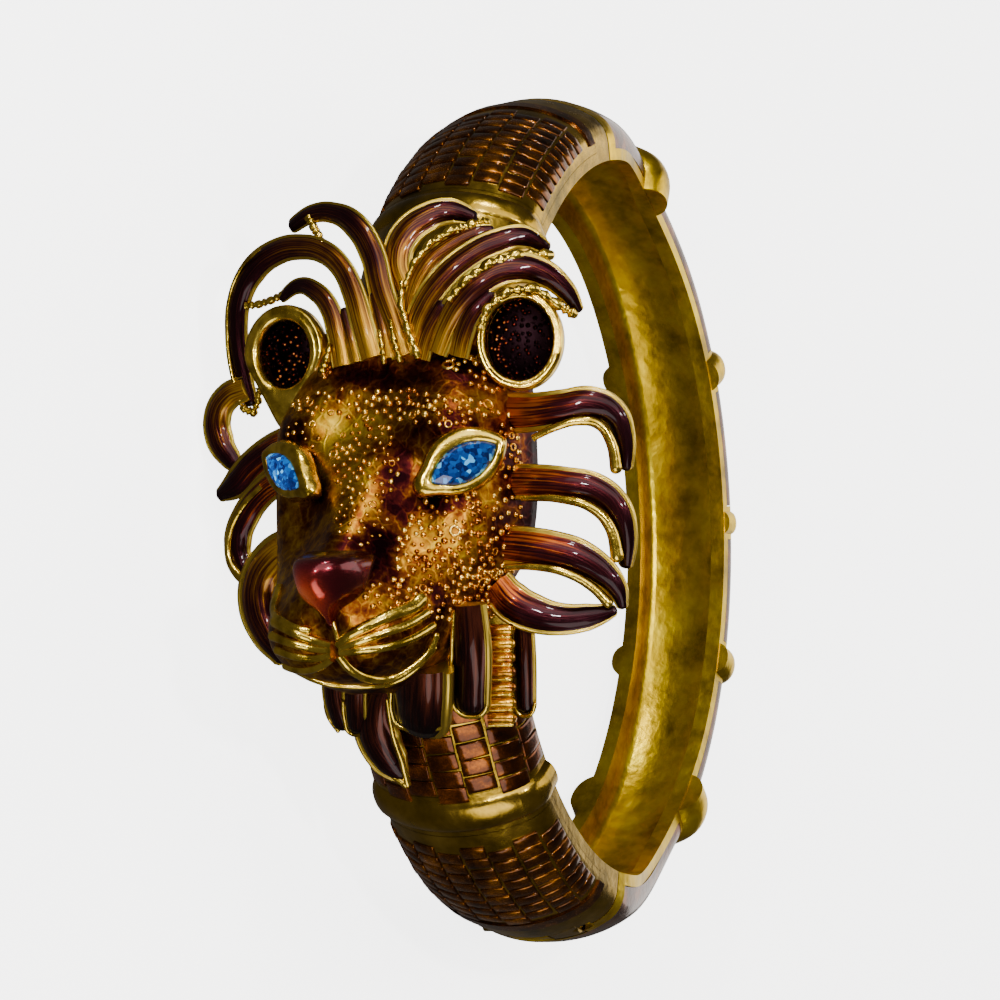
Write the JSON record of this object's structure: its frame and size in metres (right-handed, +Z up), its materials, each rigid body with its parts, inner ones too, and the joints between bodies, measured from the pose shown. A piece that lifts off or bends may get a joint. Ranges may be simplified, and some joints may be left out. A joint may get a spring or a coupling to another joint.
{
  "type": "animal head bracelet",
  "caption": "Hinged gold bangle with a lion's head, brown enamel in its band, blue marquise stone eyes, and a rear half that swings open.",
  "frame": {"origin": "centre of the bounding box on the surface that the bangle lies on", "axes": "+Z up as the bangle lies on its side, -Y towards the lion's face, +X towards the lion's chin and the hinge"},
  "size_m": [0.0686, 0.0694, 0.0361],
  "materials": {
    "gold": "polished gold plate over cast metal, softly worn",
    "head_gold": "gold plate with a dark maroon and amber translucent enamel over it",
    "pin_steel": "plain bright steel",
    "blue_stone": "clear bright blue cut stone",
    "brown_enamel": "glossy brown translucent enamel with small scale cells",
    "amber_enamel": "glossy amber brown translucent enamel over gold"
  },
  "bodies": {
    "front": {"front_band": "gold", "lion_head": "head_gold", "hinge_pin": "pin_steel", "eye_stone_left": "blue_stone", "eye_stone_right": "blue_stone", "scale_enamel_upper": "brown_enamel", "scale_enamel_lower": "brown_enamel", "scale_enamel_neck": "brown_enamel"},
    "rear": {"rear_band": "gold", "clasp_tongue": "pin_steel", "rear_enamel_1": "amber_enamel", "rear_enamel_2": "amber_enamel", "rear_enamel_3": "amber_enamel", "rear_enamel_4": "amber_enamel", "rear_enamel_5": "amber_enamel", "rear_enamel_6": "amber_enamel"}
  },
  "joints": [
    {"name": "hinge", "type": "hinge", "parent": "front", "child": "rear", "pos_m": [0.03274, -0.0003, 0.01109], "axis": [-0.0697, -0.2357, -0.9693], "range_deg": [0, 60]}
  ]
}
